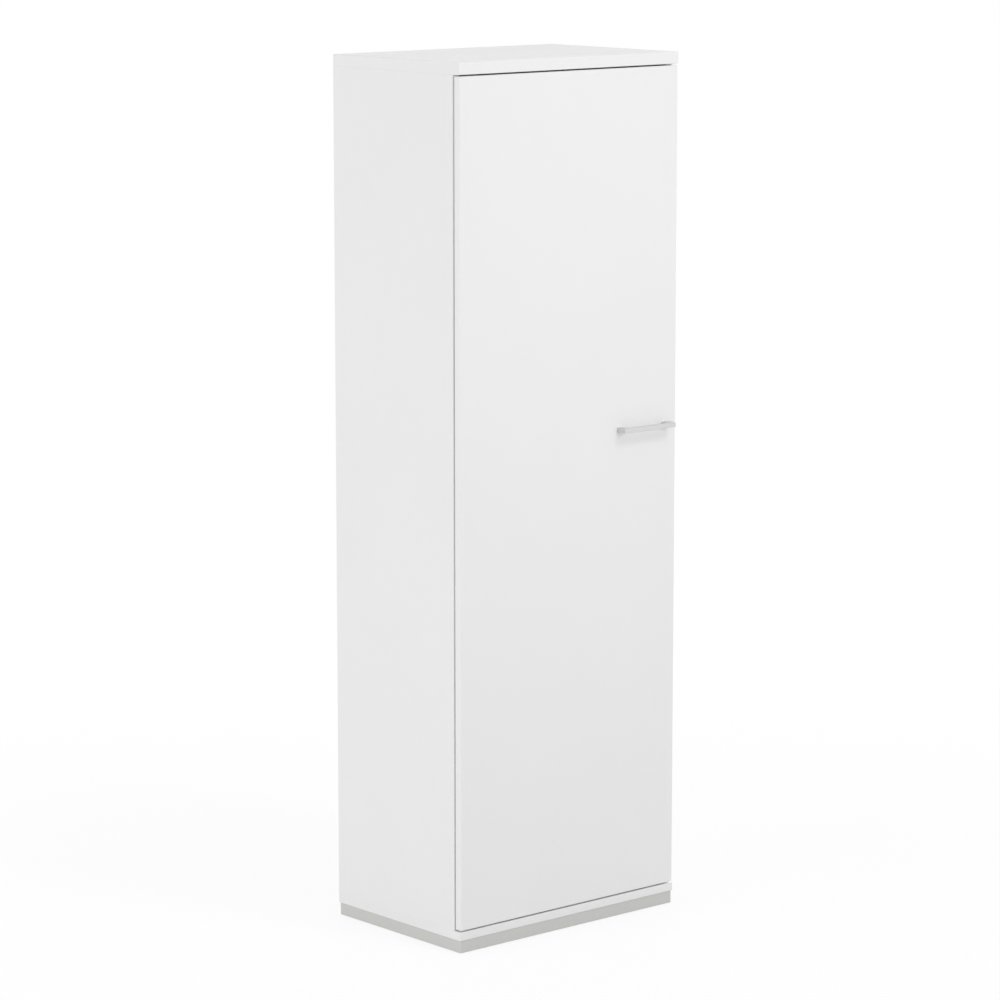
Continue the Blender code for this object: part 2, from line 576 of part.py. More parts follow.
def build_hinge_cups(axis):
    """Cup let into the door, with a flange on the door's back and a slot that the link swings in."""
    centre_x = CUP_X - CUP_PIN.x
    top_y = CUP_PIN_DEPTH
    body = rod(CUP_RADIUS, top_y - CUP_DEPTH, top_y + CUP_RIM, FINE, ALONG_Y, (centre_x, 0, 0))
    flange = box((centre_x - FLANGE_BEFORE, top_y + SEAT, -FLANGE_SPAN / 2),
                 (centre_x + FLANGE_BEYOND, top_y + SEAT + FLANGE_THICK, FLANGE_SPAN / 2),
                 [("right", "top"), ("right", "bottom"), ("left", "top"), ("left", "bottom")],
                 FLANGE_CORNER)
    slot = box((centre_x - CUP_SLOT, top_y - CUP_DEPTH + CUP_FLOOR, -LINK_CHANNEL),
               (centre_x + CUP_SLOT, top_y + SEAT + FLANGE_THICK + CUT_OVER, LINK_CHANNEL))
    pin_half = LINK_CHANNEL + CUP_PIN_GRIP
    pin_hole = rod(PIN_RADIUS + RUNNING, -pin_half - SLIP, pin_half + SLIP, SMALL)
    cup = cut(fused(body, flange), slot, pin_hole)
    pin = rod(PIN_RADIUS, -pin_half, pin_half, SMALL)
    for number, z in enumerate(HINGE_HEIGHTS, start=1):
        node(f"hinge_cup_{number}", cup, NICKEL, (CUP_PIN.x, CUP_PIN.y, z), axis)
        node(f"hinge_cup_pin_{number}", pin, STEEL, (CUP_PIN.x, CUP_PIN.y, z), axis)


def build_door(axis):
    all_edges = [(side, end) for side in ("left", "right", "front", "back") for end in ("top", "bottom")]
    all_edges += [(side, face) for side in ("left", "right") for face in ("front", "back")]
    panel = box((DOOR_LEFT_X, FRONT_Y, DOOR_LOW_Z), (DOOR_RIGHT_X, DOOR_BACK_Y, DOOR_TOP_Z),
                all_edges, EDGE_ROUND)
    bores = [rod(CUP_BORE_RADIUS, DOOR_BACK_Y - CUP_DEPTH - SLIP, DOOR_BACK_Y + CUT_OVER, FINE, ALONG_Y,
                 (CUP_X, 0, z)) for z in HINGE_HEIGHTS]
    bores += [rod(SCREW_RADIUS + RUNNING, FRONT_Y - CUT_OVER, DOOR_BACK_Y + CUT_OVER, SMALL, ALONG_Y,
                  (x, 0, HANDLE_Z)) for x in HANDLE_SCREW_XS.values()]
    node("door_panel", moved(cut(panel, together(bores)), -CUP_PIN), WHITE_BOARD, CUP_PIN, axis)

    thickness = DOOR_STANDOFF - 2 * SEAT
    bumper = moved(rod(BUMPER_RADIUS, 0.0, thickness, MEDIUM), (0, 0, 0), ALONG_Y)
    bumper_x = RIGHT_X - BOARD_THICK / 2
    for name, z in (("bottom", DOOR_LOW_Z + BUMPER_INSET), ("top", DOOR_TOP_Z - BUMPER_INSET)):
        node(f"door_bumper_{name}", bumper, CLEAR_SILICONE, (bumper_x, DOOR_BACK_Y + SEAT, z), axis)


def build_handle(axis):
    """Square-cornered bow handle, screwed on through the door from inside."""
    rear_y = FRONT_Y - SEAT
    front_y = FRONT_Y - HANDLE_PROJECTION
    bar_rear_y = front_y + HANDLE_BAR
    left_in, right_in = HANDLE_LEFT_X + HANDLE_LEG, HANDLE_RIGHT_X - HANDLE_LEG
    outline = [(HANDLE_LEFT_X, rear_y), (HANDLE_LEFT_X, front_y), (HANDLE_RIGHT_X, front_y),
               (HANDLE_RIGHT_X, rear_y), (right_in, rear_y), (right_in, bar_rear_y),
               (left_in, bar_rear_y), (left_in, rear_y)]
    bow = prism(outline, HANDLE_Z - HANDLE_HEIGHT / 2, HANDLE_Z + HANDLE_HEIGHT / 2)
    shape = bmesh.new()
    shape.from_mesh(bow)
    bmesh.ops.bevel(shape, geom=list(shape.edges), offset=HANDLE_ROUND, segments=2, profile=0.5,
                    affect="EDGES")
    grip_y = rear_y - HANDLE_SCREW_GRIP - SLIP
    bores = [rod(SCREW_RADIUS + RUNNING, grip_y, rear_y + CUT_OVER, SMALL, ALONG_Y, (x, 0, HANDLE_Z))
             for x in HANDLE_SCREW_XS.values()]
    handle = moved(cut(mesh_from(shape), together(bores)), -CUP_PIN)
    node("door_handle", handle, SATIN_METAL, CUP_PIN, axis)

    screw = moved(screw_mesh(HANDLE_SCREW_GRIP + BOARD_THICK + 2 * SEAT), (0, 0, 0), ALONG_Y.inverted())
    for side, x in HANDLE_SCREW_XS.items():
        node(f"handle_screw_{side}", screw, STEEL, (x, DOOR_BACK_Y + SEAT, HANDLE_Z), axis)


def build_wardrobe():
    clear_scene()
    link_axis = axis_empty("hinge_link_axis", ARM_PIN)
    door_axis = axis_empty("door_axis", CUP_PIN, link_axis)
    build_boards()
    build_cams()
    build_shelf()
    build_rail()
    build_plinth()
    build_hinge_carriers()
    build_hinge_links(link_axis)
    build_hinge_cups(door_axis)
    build_door(door_axis)
    build_handle(door_axis)


build_wardrobe()
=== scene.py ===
"""Looks of the tall white wardrobe: finishes, small fittings, plain studio and camera.

Metres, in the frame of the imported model: +Z up, the front faces -Y, the floor is z = 0.
"""
import math

import bmesh
import bpy
from mathutils import Matrix, Vector


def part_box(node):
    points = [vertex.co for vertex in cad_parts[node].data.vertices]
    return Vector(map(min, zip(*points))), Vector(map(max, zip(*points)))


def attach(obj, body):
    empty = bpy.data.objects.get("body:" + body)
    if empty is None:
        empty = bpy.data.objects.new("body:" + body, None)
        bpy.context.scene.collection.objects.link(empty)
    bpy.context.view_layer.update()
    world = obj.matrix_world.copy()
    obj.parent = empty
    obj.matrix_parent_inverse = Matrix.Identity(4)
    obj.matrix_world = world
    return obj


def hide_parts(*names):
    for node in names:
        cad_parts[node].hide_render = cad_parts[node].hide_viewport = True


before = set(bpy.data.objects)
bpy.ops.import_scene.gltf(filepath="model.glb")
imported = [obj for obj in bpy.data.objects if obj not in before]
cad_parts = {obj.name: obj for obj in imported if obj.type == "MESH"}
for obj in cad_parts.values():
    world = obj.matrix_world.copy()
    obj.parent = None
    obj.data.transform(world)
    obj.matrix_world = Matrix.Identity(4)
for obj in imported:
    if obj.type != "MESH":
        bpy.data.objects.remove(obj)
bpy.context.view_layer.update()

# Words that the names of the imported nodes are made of
HINGES = range(1, 5)
SIDES = ("left", "right")
ENDS = ("front", "rear")
LEVELS = ("bottom", "top")

# Directions
AXES = "XYZ"
RIGHTWARD = (1, 0, 0)
BACKWARD = (0, 1, 0)
UPWARD = (0, 0, 1)
DOWNWARD = (0, 0, -1)

# Camera, from the photograph's lines: angles in degrees, lens and sensor in millimetres
CAMERA_PLACE = (-5.348, -6.107, 2.285)
CAMERA_PITCH = 9.725
CAMERA_HEADING = 41.05
CAMERA_LENS = 140.4
CAMERA_SENSOR = 36.0

# Soft square lights: place, point aimed at, edge length, spread in degrees, and watts
LIGHTS = {
    "key": dict(place=(0.6, -4.4, 2.2), aim=(0.0, 0.0, 1.5), size=1.6, spread=60.0, watts=3.9),
    "side": dict(place=(-4.3, 0.2, 1.5), aim=(0.0, 0.0, 1.1), size=2.0, spread=180.0, watts=34.5),
    "top": dict(place=(0.6, -2.7, 3.9), aim=(0.0, 0.0, 1.1), size=0.8, spread=180.0, watts=18.9),
    "rear": dict(place=(3.6, 3.8, 0.95), aim=(0.0, 0.0, 0.95), size=1.7, spread=180.0, watts=60.0),
}
DOME_LIGHT = 0.773

# Floor: pale grey for the light that it returns, and shown as white apart from the shadow near the object
FLOOR_HALF = 60.0
FLOOR_GREY = 0.80
FLOOR_ROUGH = 0.9
FLOOR_NEAR = 0.6
FLOOR_FAR = 2.6
FLOOR_NEAR_GLOW = 0.8

# Edges and points: what counts as flat, as sharp and as the same place
FLAT_ANGLE = math.radians(0.1)
SHARP_ANGLE = math.radians(36)
WELD_REACH = 1e-6
TURNED_WELD_REACH = 1e-7
BEVEL_STEPS = 2
SHARP_GROUP = "sharp_edges"

# Boards: edging strip, and the grain of the embossed face
BAND = 0.0010
BAND_SEAM = 0.00012
BAND_SMOOTHER = 0.08
SEAM_SHADE = 0.30
SEAM_TONE = 0.80
CLOUD_SCALE = 5.0
CLOUD_SHARE = 0.5
PEARL_SCALE = 1100.0
PEARL_SHARE = 0.5
PEARL_DEPTH = 0.00004
MOTTLE_SCALE = 45.0

# Other finishes
ROLLER_LINES = (260.0, 260.0, 18.0)
FLECK_SCALE = 2600.0
THREAD_PITCH = 0.00125
THREAD_SHARE = 4.0
FOOT_PAD_HEIGHT = 0.006
SILICONE_IOR = 1.41
SILICONE_CLEAR = 0.55

# A noise value mostly lies between these two
NOISE_LOW = 0.25
NOISE_HIGH = 0.75

# Screw heads: radius and height, the crown's outline as shares of them, and the recess
FACETS = 32
PLATE_SCREW = (0.0034, 0.0016)
ARM_SCREW = (0.0036, 0.0012)
CUP_SCREW = (0.0034, 0.0016)
BRACKET_SCREW = (0.0032, 0.0015)
HANDLE_SCREW = (0.004, 0.0022)
PLINTH_SCREW = (0.004, 0.0022)
SHANK_RADIUS = 0.002
PAN_HEAD = ((1.0, 0.0), (1.0, 0.35), (0.93, 0.68), (0.76, 0.92), (0.45, 1.0), (0.0, 1.0))
CROSS_REACH = 0.62
CROSS_HALF_WIDTH = 0.10
CROSS_TAPER = 0.55
CROSS_DEPTH = 0.55
CROSS_ABOVE = 1.5
CROSS_TURN = math.pi / FACETS

# Places of the screws on what they hold
PLATE_WING_TOP = 0.0024
PLATE_WING_MIDDLE = 0.037
PLATE_SCREW_SPREAD = 0.016
ARM_SCREW_PLACES = (0.027, 0.049)
CUP_EDGE = 0.003
CUP_RADIUS = 0.0175
CUP_SCREW_BEYOND = 0.0095
CUP_SCREW_SPREAD = 0.0225
BRACKET_PLATE_THICK = 0.003
BRACKET_SCREW_SPREAD = 0.019

# Plugs of the rail: wall and boss, and the lip's dome as shares of width, height and lip
RAIL_WALL = 0.0012
PLUG_BOSS = 0.010
PLUG_BOSS_GAP = 0.0002
PLUG_LIP = 0.0020
PLUG_DOME = ((1.0, 1.0, 0.5), (0.94, 0.97, 0.8), (0.80, 0.90, 1.0))
OVAL_POINTS = 48

# Caps over the feet's holes: stem and dome, with outlines as shares of radius and depth or height
CAP_STEM = 0.0040
CAP_STEM_DEPTH = 0.0035
CAP_STEM_END = ((0.0, 1.0), (0.9, 1.0), (1.0, 0.7))
CAP_LIFT = 0.00005
CAP_RADIUS = 0.0070
CAP_HEIGHT = 0.0012
CAP_DOME = ((1.0, 0.4), (0.94, 0.75), (0.75, 0.95), (0.3, 1.0), (0.0, 1.0))

# Colours, linear
WHITE = (0.85, 0.85, 0.85)
BACK_WHITE = (0.80, 0.80, 0.79)
CAP_WHITE = (0.78, 0.78, 0.77)
GREY = (0.609, 0.614, 0.592)
HANDLE_METAL = (0.68, 0.68, 0.68)
CHROME = (0.78, 0.79, 0.80)
NICKEL = (0.66, 0.65, 0.62)
ZINC_STEEL = (0.58, 0.59, 0.60)
ZINC_CAST = (0.50, 0.51, 0.52)
BLACK = (0.022, 0.022, 0.024)
SILICONE = (0.82, 0.84, 0.85)
STUDIO_WHITE = (1.0, 1.0, 1.0)


def opaque(colour, factor=1.0):
    """A colour made darker or lighter by a factor, with full cover."""
    return (*(part * factor for part in colour), 1.0)


def add(tree, kind, inputs, **settings):
    """New shader node, with each input set to a value or linked from a socket."""
    made = tree.nodes.new("ShaderNode" + kind)
    for name, value in settings.items():
        setattr(made, name, value)
    for name, value in inputs.items():
        feed(tree, made.inputs[name], value)
    return made


def feed(tree, socket, value):
    if isinstance(value, bpy.types.NodeSocket):
        tree.links.new(value, socket)
    else:
        socket.default_value = value


def new_material(name):
    made = bpy.data.materials.new(name)
    made.use_nodes = True
    return made, made.node_tree, made.node_tree.nodes["Principled BSDF"]


def object_point(tree, stretch=(1.0, 1.0, 1.0)):
    place = add(tree, "TexCoord", {}).outputs["Object"]
    return add(tree, "Mapping", {"Vector": place, "Scale": stretch}).outputs["Vector"]


def noise(tree, point, scale=1.0, detail=2.0):
    return add(tree, "TexNoise", {"Vector": point, "Scale": scale, "Detail": detail}).outputs["Fac"]


def between(tree, factor, low, high):
    """A noise value brought to the range from low to high."""
    made = add(tree, "MapRange", {"Value": factor, "From Min": NOISE_LOW, "From Max": NOISE_HIGH,
                                  "To Min": low, "To Max": high})
    return made.outputs["Result"]


def tones(tree, factor, colour, low, high):
    """A colour that a noise value makes darker, down to low times, or lighter, up to high times."""
    made = add(tree, "ValToRGB", {"Fac": factor})
    dark, light = made.color_ramp.elements
    dark.position = NOISE_LOW
    dark.color = opaque(colour, low)
    light.position = NOISE_HIGH
    light.color = opaque(colour, high)
    return made.outputs["Color"]


def mixed(tree, factor, first, second):
    return add(tree, "MixRGB", {"Fac": factor, "Color1": first, "Color2": second}).outputs["Color"]


def math_node(tree, operation, *values):
    return add(tree, "Math", dict(enumerate(values)), operation=operation).outputs[0]


def bumped(tree, shader, height, depth, strength):
    made = add(tree, "Bump", {"Height": height, "Distance": depth, "Strength": strength})
    feed(tree, shader.inputs["Normal"], made.outputs["Normal"])


def edge_distance(tree, point, edges):
    """Distance from a board's nearest banded edge; edges holds (axis, place) pairs."""
    split = add(tree, "SeparateXYZ", {"Vector": point})
    nearest = None
    for axis, place in edges:
        distance = math_node(tree, "ABSOLUTE", math_node(tree, "SUBTRACT", split.outputs[axis], place))
        nearest = distance if nearest is None else math_node(tree, "MINIMUM", nearest, distance)
    return nearest


def board_material(name, edges):
    """White faced board with a fine pearl embossing and a smoother strip along its banded edges."""
    made, tree, shader = new_material(name)
    point = object_point(tree)
    pearl = noise(tree, point, PEARL_SCALE, detail=3.0)
    cloud = noise(tree, point, CLOUD_SCALE, detail=3.0)
    distance = edge_distance(tree, point, edges)
    on_band = math_node(tree, "LESS_THAN", distance, BAND)
    on_seam = math_node(tree, "COMPARE", distance, BAND, BAND_SEAM)
    clouding = math_node(tree, "MULTIPLY", cloud, CLOUD_SHARE)
    grain = math_node(tree, "MULTIPLY_ADD", pearl, PEARL_SHARE, clouding)
    face = tones(tree, grain, WHITE, low=0.985, high=1.012)
    seam_share = math_node(tree, "MULTIPLY", on_seam, SEAM_SHADE)
    feed(tree, shader.inputs["Base Color"], mixed(tree, seam_share, face, opaque(WHITE, SEAM_TONE)))
    rough = between(tree, noise(tree, point, MOTTLE_SCALE), low=0.40, high=0.50)
    smoother = math_node(tree, "MULTIPLY", on_band, BAND_SMOOTHER)
    feed(tree, shader.inputs["Roughness"], math_node(tree, "SUBTRACT", rough, smoother))
    relief = math_node(tree, "SUBTRACT", pearl, on_seam)
    bumped(tree, shader, relief, depth=PEARL_DEPTH, strength=0.35)
    return made


def back_material():
    """Thin painted back board, with the faint lines of the paint roller."""
    made, tree, shader = new_material("back_paint")
    lines = noise(tree, object_point(tree, ROLLER_LINES))
    fine = noise(tree, object_point(tree), scale=800.0)
    feed(tree, shader.inputs["Base Color"], tones(tree, lines, BACK_WHITE, low=0.97, high=1.0))
    feed(tree, shader.inputs["Roughness"], between(tree, fine, low=0.48, high=0.62))
    bumped(tree, shader, math_node(tree, "ADD", lines, fine), depth=0.00005, strength=0.3)
    return made


def powder_material():
    """Light grey powder coat: orange-peel skin with a pale metallic fleck."""
    made, tree, shader = new_material("powder_coat")
    point = object_point(tree)
    peel = noise(tree, point, scale=650.0)
    fleck = add(tree, "TexVoronoi", {"Vector": point, "Scale": FLECK_SCALE}).outputs["Color"]
    fleck_grey = add(tree, "SeparateColor", {"Color": fleck}).outputs[0]
    feed(tree, shader.inputs["Base Color"], tones(tree, fleck_grey, GREY, low=0.95, high=1.05))
    feed(tree, shader.inputs["Roughness"], between(tree, peel, low=0.42, high=0.54))
    bumped(tree, shader, peel, depth=0.00006, strength=0.4)
    return made


def metal_material(name, colour, rough, stretch, line_depth, wobble=0.06):
    """Bare or plated metal whose fine lines run along the axis with the smallest stretch."""
    made, tree, shader = new_material(name)
    lines = noise(tree, object_point(tree, stretch), detail=4.0)
    stain = noise(tree, object_point(tree), scale=70.0, detail=3.0)
    feed(tree, shader.inputs["Base Color"], tones(tree, lines, colour, low=0.94, high=1.03))
    shader.inputs["Metallic"].default_value = 1.0
    feed(tree, shader.inputs["Roughness"], between(tree, stain, low=rough - wobble, high=rough + wobble))
    bumped(tree, shader, lines, depth=line_depth, strength=0.4)
    return made


def foot_material():
    """Moulded black pad with a threaded zinc stem above it."""
    made, tree, shader = new_material("foot_pad_and_stem")
    point = object_point(tree)
    height = add(tree, "SeparateXYZ", {"Vector": point}).outputs["Z"]
    on_stem = math_node(tree, "GREATER_THAN", height, FOOT_PAD_HEIGHT)
    pebble = noise(tree, point, scale=900.0)
    pad = tones(tree, pebble, BLACK, low=0.8, high=1.3)
    feed(tree, shader.inputs["Base Color"], mixed(tree, on_stem, pad, opaque(ZINC_STEEL)))
    feed(tree, shader.inputs["Metallic"], on_stem)
    feed(tree, shader.inputs["Roughness"], between(tree, pebble, low=0.38, high=0.55))
    turn = math_node(tree, "MULTIPLY", height, math.tau / THREAD_PITCH)
    thread = math_node(tree, "MULTIPLY", math_node(tree, "SINE", turn), on_stem)
    relief = math_node(tree, "MULTIPLY_ADD", thread, THREAD_SHARE, pebble)
    bumped(tree, shader, relief, depth=0.00008, strength=0.8)
    return made


def plastic_material(name, colour, rough, wobble=0.05):
    """Moulded plastic with a fine pebble grain."""
    made, tree, shader = new_material(name)
    pebble = noise(tree, object_point(tree), scale=1000.0)
    feed(tree, shader.inputs["Base Color"], tones(tree, pebble, colour, low=0.95, high=1.04))
    feed(tree, shader.inputs["Roughness"], between(tree, pebble, low=rough - wobble, high=rough + wobble))
    bumped(tree, shader, pebble, depth=0.00003, strength=0.4)
    return made


def silicone_material():
    """Half-clear soft bumper, a little cloudy."""
    made, tree, shader = new_material("silicone")
    cloud = noise(tree, object_point(tree), scale=400.0, detail=3.0)
    feed(tree, shader.inputs["Base Color"], tones(tree, cloud, SILICONE, low=0.95, high=1.0))
    feed(tree, shader.inputs["Roughness"], between(tree, cloud, low=0.2, high=0.34))
    shader.inputs["IOR"].default_value = SILICONE_IOR
    shader.inputs["Transmission Weight"].default_value = SILICONE_CLEAR
    return made


def banded_edges(node, *sides):
    """(axis, place) pairs of a board's banded edges, named as -X, +Y and so on."""
    low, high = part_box(node)
    corners = {"-": low, "+": high}
    pairs = []
    for sign, letter in sides:
        axis = AXES.index(letter)
        pairs.append((axis, corners[sign][axis]))
    return pairs


def build_sharp_group():
    """Geometry nodes that keep an edge sharp where its two faces meet at a wide angle."""
    tree = bpy.data.node_groups.new(SHARP_GROUP, "GeometryNodeTree")
    for way in ("INPUT", "OUTPUT"):
        tree.interface.new_socket("Geometry", in_out=way, socket_type="NodeSocketGeometry")
    start = tree.nodes.new("NodeGroupInput")
    angle = tree.nodes.new("GeometryNodeInputMeshEdgeAngle")
    flat = tree.nodes.new("FunctionNodeCompare")
    flat.operation = "LESS_THAN"
    flat.inputs["B"].default_value = SHARP_ANGLE
    shade = tree.nodes.new("GeometryNodeSetShadeSmooth")
    shade.domain = "EDGE"
    end = tree.nodes.new("NodeGroupOutput")
    tree.links.new(angle.outputs["Unsigned Angle"], flat.inputs["A"])
    tree.links.new(flat.outputs["Result"], shade.inputs["Shade Smooth"])
    tree.links.new(start.outputs["Geometry"], shade.inputs["Geometry"])
    tree.links.new(shade.outputs["Geometry"], end.inputs["Geometry"])


def soften(item, width):
    """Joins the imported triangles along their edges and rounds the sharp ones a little."""
    weld = item.modifiers.new("weld", "WELD")
    weld.merge_threshold = WELD_REACH
    if width:
        bevel = item.modifiers.new("bevel", "BEVEL")
        bevel.width = width
        bevel.segments = BEVEL_STEPS
        bevel.limit_method = "ANGLE"
        bevel.angle_limit = SHARP_ANGLE
    sharp = item.modifiers.new("sharp", "NODES")
    sharp.node_group = bpy.data.node_groups[SHARP_GROUP]
    normals = item.modifiers.new("normals", "WEIGHTED_NORMAL")
    normals.keep_sharp = True


def dress(nodes, material, rounding=0.0):
    """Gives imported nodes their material, and their sharp edges a rounding of that width."""
    for name in nodes:
        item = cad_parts[name]
        item.data.materials.clear()
        item.data.materials.append(material)
        packed_normals = item.data.attributes.get("custom_normal")
        if packed_normals:
            item.data.attributes.remove(packed_normals)
        item.data.shade_smooth()
        soften(item, rounding)


def dress_boards():
    boards = {
        "top_panel": ("-X", "+X", "-Y", "+Y"),
        "bottom_panel": ("-X", "+X", "-Y", "+Y"),
        "left_side_panel": ("-Y", "+Y"),
        "right_side_panel": ("-Y", "+Y"),
        "hat_shelf": ("-Y",),
        "door_panel": ("-X", "+X", "-Z", "+Z"),
    }
    for node, sides in boards.items():
        dress([node], board_material(node, banded_edges(node, *sides)))
    dress(["back_panel"], back_material())


def dress_metal():
    """Finishes of the metal pieces. Gives back the steel, which the added screws have too."""
    nickel = metal_material("nickel", NICKEL, rough=0.26,
                            stretch=(900.0, 60.0, 900.0), line_depth=0.00002)
    steel = metal_material("zinc_steel", ZINC_STEEL, rough=0.34,
                           stretch=(500.0, 500.0, 500.0), line_depth=0.00002)
    casting = metal_material("zinc_casting", ZINC_CAST, rough=0.46,
                             stretch=(700.0, 700.0, 700.0), line_depth=0.00006)
    chrome = metal_material("rail_chrome", CHROME, rough=0.14, wobble=0.04,
                            stretch=(1500.0, 12.0, 1500.0), line_depth=0.00001)
    brushed = metal_material("satin_handle", HANDLE_METAL, rough=0.38,
                             stretch=(40.0, 2400.0, 2400.0), line_depth=0.00002)
    cams = [f"cam_lock_{side}_{level}_{end}" for side in SIDES for level in LEVELS for end in ENDS]
    for part in ("plate", "arm", "link", "cup"):
        dress([f"hinge_{part}_{number}" for number in HINGES], nickel, rounding=0.00025)
    for part in ("arm", "cup"):
        dress([f"hinge_{part}_pin_{number}" for number in HINGES], steel, rounding=0.0002)
    dress(cams, casting, rounding=0.0003)
    dress([f"shelf_peg_{side}_{end}" for side in SIDES for end in ENDS], nickel, rounding=0.0001)
    dress(["coat_rail"], chrome, rounding=0.0002)
    dress([f"coat_rail_bracket_{end}" for end in ENDS], nickel, rounding=0.0004)
    dress(["door_handle"], brushed)
    return steel


def dress_base():
    dress(["plinth_frame"], powder_material())
    feet = [f"levelling_foot_{side}_{end}" for side in SIDES for end in ENDS]
    dress(feet, foot_material(), rounding=0.0003)
    dress([f"door_bumper_{level}" for level in LEVELS], silicone_material(), rounding=0.0004)


def shade_by_angle(mesh):
    mesh.shade_smooth()
    mesh.set_sharp_from_angle(angle=SHARP_ANGLE)
    return mesh


def mesh_from(shape):
    bmesh.ops.recalc_face_normals(shape, faces=shape.faces)
    mesh = bpy.data.meshes.new("fitting")
    shape.to_mesh(mesh)
    shape.free()
    return shade_by_angle(mesh)


def turned(profile):
    """Solid of revolution about Z from (radius, height) points that start and end on the axis."""
    shape = bmesh.new()
    points = [shape.verts.new((radius, 0.0, height)) for radius, height in profile]
    edges = [shape.edges.new(pair) for pair in zip(points, points[1:])]
    bmesh.ops.spin(shape, geom=points + edges, axis=UPWARD, cent=(0, 0, 0), angle=math.tau, steps=FACETS)
    bmesh.ops.remove_doubles(shape, verts=shape.verts, dist=TURNED_WELD_REACH)
    bmesh.ops.dissolve_limit(shape, angle_limit=FLAT_ANGLE, verts=shape.verts, edges=shape.edges)
    return mesh_from(shape)


def skin(shape, loops):
    """Faces from loop to loop, and one over each end."""
    shape.faces.new(loops[0])
    shape.faces.new(loops[-1])
    for first, second in zip(loops, loops[1:]):
        for index in range(len(first)):
            shape.faces.new((first[index - 1], first[index], second[index], second[index - 1]))


def cross_outline(radius):
    """Corners of a cross, anticlockwise, turned so that its arms lie between the head's facets."""
    reach = radius * CROSS_REACH
    half = radius * CROSS_HALF_WIDTH
    points = []
    for quarter in range(4):
        turn = Matrix.Rotation(CROSS_TURN + quarter * math.pi / 2, 2)
        points += [turn @ Vector(corner) for corner in ((reach, -half), (reach, half), (half, half))]
    return points


def cross_cutter(radius, height):
    """Tapered cross that leaves a driver's recess in a screw head whose crown is at that height."""
    shape = bmesh.new()
    floor = height * (1.0 - CROSS_DEPTH)
    above = height * CROSS_ABOVE
    lower = [shape.verts.new((*point, floor)) for point in cross_outline(radius * CROSS_TAPER)]
    upper = [shape.verts.new((*point, above)) for point in cross_outline(radius)]
    skin(shape, (lower, upper))
    return mesh_from(shape)


def cut(base, tool):
    """A mesh with the form of another one taken out of it."""
    target = bpy.data.objects.new("target", base)
    helper = bpy.data.objects.new("helper", tool)
    for item in (target, helper):
        bpy.context.scene.collection.objects.link(item)
    step = target.modifiers.new("cut", "BOOLEAN")
    step.operation = "DIFFERENCE"
    step.object = helper
    result = bpy.data.meshes.new_from_object(target.evaluated_get(bpy.context.evaluated_depsgraph_get()))
    for item in (target, helper):
        bpy.data.objects.remove(item)
    return result


def screw_mesh(head, shank_length=0.0):
    """Pan-head screw along +Z with the underside of its head at 0 and a cross recess in its crown."""
    radius, height = head
    below = [(0.0, 0.0)]
    if shank_length:
        below = [(0.0, -shank_length), (SHANK_RADIUS, -shank_length), (SHANK_RADIUS, 0.0)]
    crown = [(radius * across, height * up) for across, up in PAN_HEAD]
    return shade_by_angle(cut(turned(below + crown), cross_cutter(radius, height)))


def facing(direction):
    """Turn that lays the fitting's +Z along a direction."""
    return Vector(direction).to_track_quat("Z", "Y").to_matrix().to_4x4()


def piece(name, mesh, finish, body):
    """New piece on a body, with the finish's material; the slot that comes with the finish is not used.
    """
    material, slot = finish
    mesh.materials.clear()
    mesh.materials.append(material)
    item = bpy.data.objects.new(name, mesh)
    bpy.context.scene.collection.objects.link(item)
    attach(item, body)
    return item


def group(name, mesh, direction, places, finish, body):
    """One piece made of equal fittings at several places."""
    shape = bmesh.new()
    for place in places:
        copy = mesh.copy()
        copy.transform(Matrix.Translation(place) @ facing(direction))
        shape.from_mesh(copy)
    return piece(name, mesh_from(shape), finish, body)


def middle(node):
    low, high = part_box(node)
    return (low + high) / 2


def both_ways(step):
    return (-step, step)


def add_hinge_screws(finish):
    """Screws of each hinge: through the plate's wings, on the arm, and through the cup's flange."""
    side_low, side_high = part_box("left_side_panel")
    wing = (side_high.x + PLATE_WING_TOP, side_low.y + PLATE_WING_MIDDLE)
    cup_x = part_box("door_panel")[0].x + CUP_EDGE + CUP_RADIUS + CUP_SCREW_BEYOND
    plate_screw = screw_mesh(PLATE_SCREW)
    arm_screw = screw_mesh(ARM_SCREW)
    cup_screw = screw_mesh(CUP_SCREW)
    for number in HINGES:
        z = middle(f"hinge_arm_{number}").z
        arm_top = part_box(f"hinge_arm_{number}")[1].x
        flange_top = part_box(f"hinge_cup_{number}")[1].y
        plate_places = [(*wing, z + step) for step in both_ways(PLATE_SCREW_SPREAD)]
        arm_places = [(arm_top, side_low.y + back, z) for back in ARM_SCREW_PLACES]
        cup_places = [(cup_x, flange_top, z + step) for step in both_ways(CUP_SCREW_SPREAD)]
        group(f"hinge_plate_screws_{number}", plate_screw, RIGHTWARD, plate_places, finish, "carcass")
        group(f"hinge_arm_screws_{number}", arm_screw, RIGHTWARD, arm_places, finish, "carcass")
        group(f"hinge_cup_screws_{number}", cup_screw, BACKWARD, cup_places, finish, "door")


def add_handle_screw(side, finish):
    """Handle screw with its driver's recess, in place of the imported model's plain one."""
    node = f"handle_screw_{side}"
    low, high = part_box(node)
    seat = high.y - HANDLE_SCREW[1]
    mesh = screw_mesh(HANDLE_SCREW, seat - low.y)
    place = (middle(node).x, seat, middle(node).z)
    item = group(f"{node}_cross_head", mesh, BACKWARD, [place], finish, "door")
    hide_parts(node)


def add_plinth_screw(side, end, finish):
    """Plinth screw with its driver's recess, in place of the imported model's plain one."""
    node = f"plinth_screw_{side}_{end}"
    low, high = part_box(node)
    seat = low.z + PLINTH_SCREW[1]
    mesh = screw_mesh(PLINTH_SCREW, high.z - seat)
    place = (middle(node).x, middle(node).y, seat)
    item = group(f"{node}_cross_head", mesh, DOWNWARD, [place], finish, "carcass")
    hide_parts(node)


